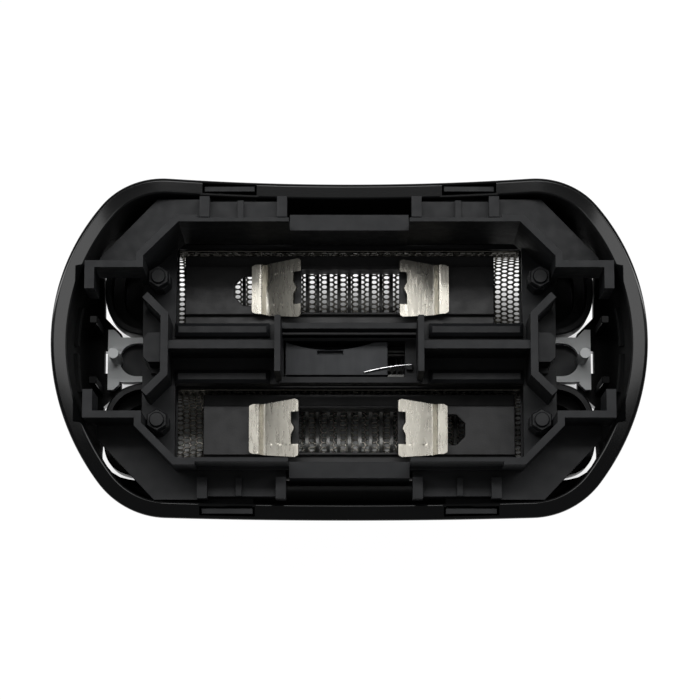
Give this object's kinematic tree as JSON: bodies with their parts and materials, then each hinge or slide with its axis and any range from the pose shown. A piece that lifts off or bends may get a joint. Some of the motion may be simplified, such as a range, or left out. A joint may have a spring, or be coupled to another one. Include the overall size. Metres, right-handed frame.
{
  "type": "shaver foil head",
  "caption": "Clip-on electric shaver head seen from its drive side: saddle-rimmed shell, moulded chassis, sprung foils with sliding cutters, and a middle trimmer.",
  "frame": {"origin": "below the middle of the head, on the plane the foil crests rest on", "axes": "+X along the foils, +Y from the front foil to the rear foil, +Z from the foil crests to the open drive side"},
  "size_m": [0.058, 0.034, 0.02],
  "materials": {
    "shell_gloss": "polished black moulding",
    "chassis_plastic": "satin black moulding",
    "frame_plastic": "satin black moulding",
    "carrier_plastic": "satin black moulding with flow marks",
    "foil_nickel": "electroformed nickel sheet",
    "blade_steel": "ground steel",
    "clip_nickel": "stamped nickel plate",
    "spring_steel": "drawn wire",
    "bracket_grey": "satin light grey moulding",
    "slider_grey": "satin grey moulding"
  },
  "bodies": {
    "head_frame": {"outer_shell": "shell_gloss", "chassis": "chassis_plastic", "rear_left_foil_spring": "spring_steel", "rear_right_foil_spring": "spring_steel", "front_left_foil_spring": "spring_steel", "front_right_foil_spring": "spring_steel", "left_trimmer_spring": "spring_steel", "right_trimmer_spring": "spring_steel"},
    "rear_foil_unit": {"rear_foil_frame": "frame_plastic", "rear_foil": "foil_nickel"},
    "front_foil_unit": {"front_foil_frame": "frame_plastic", "front_foil": "foil_nickel"},
    "rear_cutter": {"rear_cutter_carrier": "carrier_plastic", "rear_cutter_blades": "blade_steel", "rear_left_drive_clip": "clip_nickel", "rear_right_drive_clip": "clip_nickel"},
    "front_cutter": {"front_cutter_carrier": "carrier_plastic", "front_cutter_blades": "blade_steel", "front_left_drive_clip": "clip_nickel", "front_right_drive_clip": "clip_nickel"},
    "trimmer_unit": {"trimmer_housing": "frame_plastic", "trimmer_comb": "blade_steel", "trimmer_wire_spring": "spring_steel", "left_trimmer_bracket": "bracket_grey", "right_trimmer_bracket": "bracket_grey"},
    "trimmer_drive": {"trimmer_blade": "blade_steel", "trimmer_slider": "slider_grey"}
  },
  "joints": [
    {"name": "rear_foil_float", "type": "slide", "parent": "head_frame", "child": "rear_foil_unit", "axis": [0, 0, 1], "range_m": [0, 0.0014], "stiffness_N_per_m": 100, "springref_m": -0.004, "deforming": ["rear_left_foil_spring", "rear_right_foil_spring"]},
    {"name": "front_foil_float", "type": "slide", "parent": "head_frame", "child": "front_foil_unit", "axis": [0, 0, 1], "range_m": [0, 0.0014], "stiffness_N_per_m": 100, "springref_m": -0.004, "deforming": ["front_left_foil_spring", "front_right_foil_spring"]},
    {"name": "trimmer_float", "type": "slide", "parent": "head_frame", "child": "trimmer_unit", "axis": [0, 0, 1], "range_m": [0, 0.0012], "stiffness_N_per_m": 80, "springref_m": -0.003, "deforming": ["left_trimmer_spring", "right_trimmer_spring"]},
    {"name": "rear_cutter_stroke", "type": "slide", "parent": "rear_foil_unit", "child": "rear_cutter", "axis": [1, 0, 0], "range_m": [0, 0.002]},
    {"name": "front_cutter_stroke", "type": "slide", "parent": "front_foil_unit", "child": "front_cutter", "axis": [-1, 0, 0], "range_m": [0, 0.002]},
    {"name": "trimmer_stroke", "type": "slide", "parent": "trimmer_unit", "child": "trimmer_drive", "axis": [1, 0, 0], "range_m": [0, 0.0016]}
  ]
}
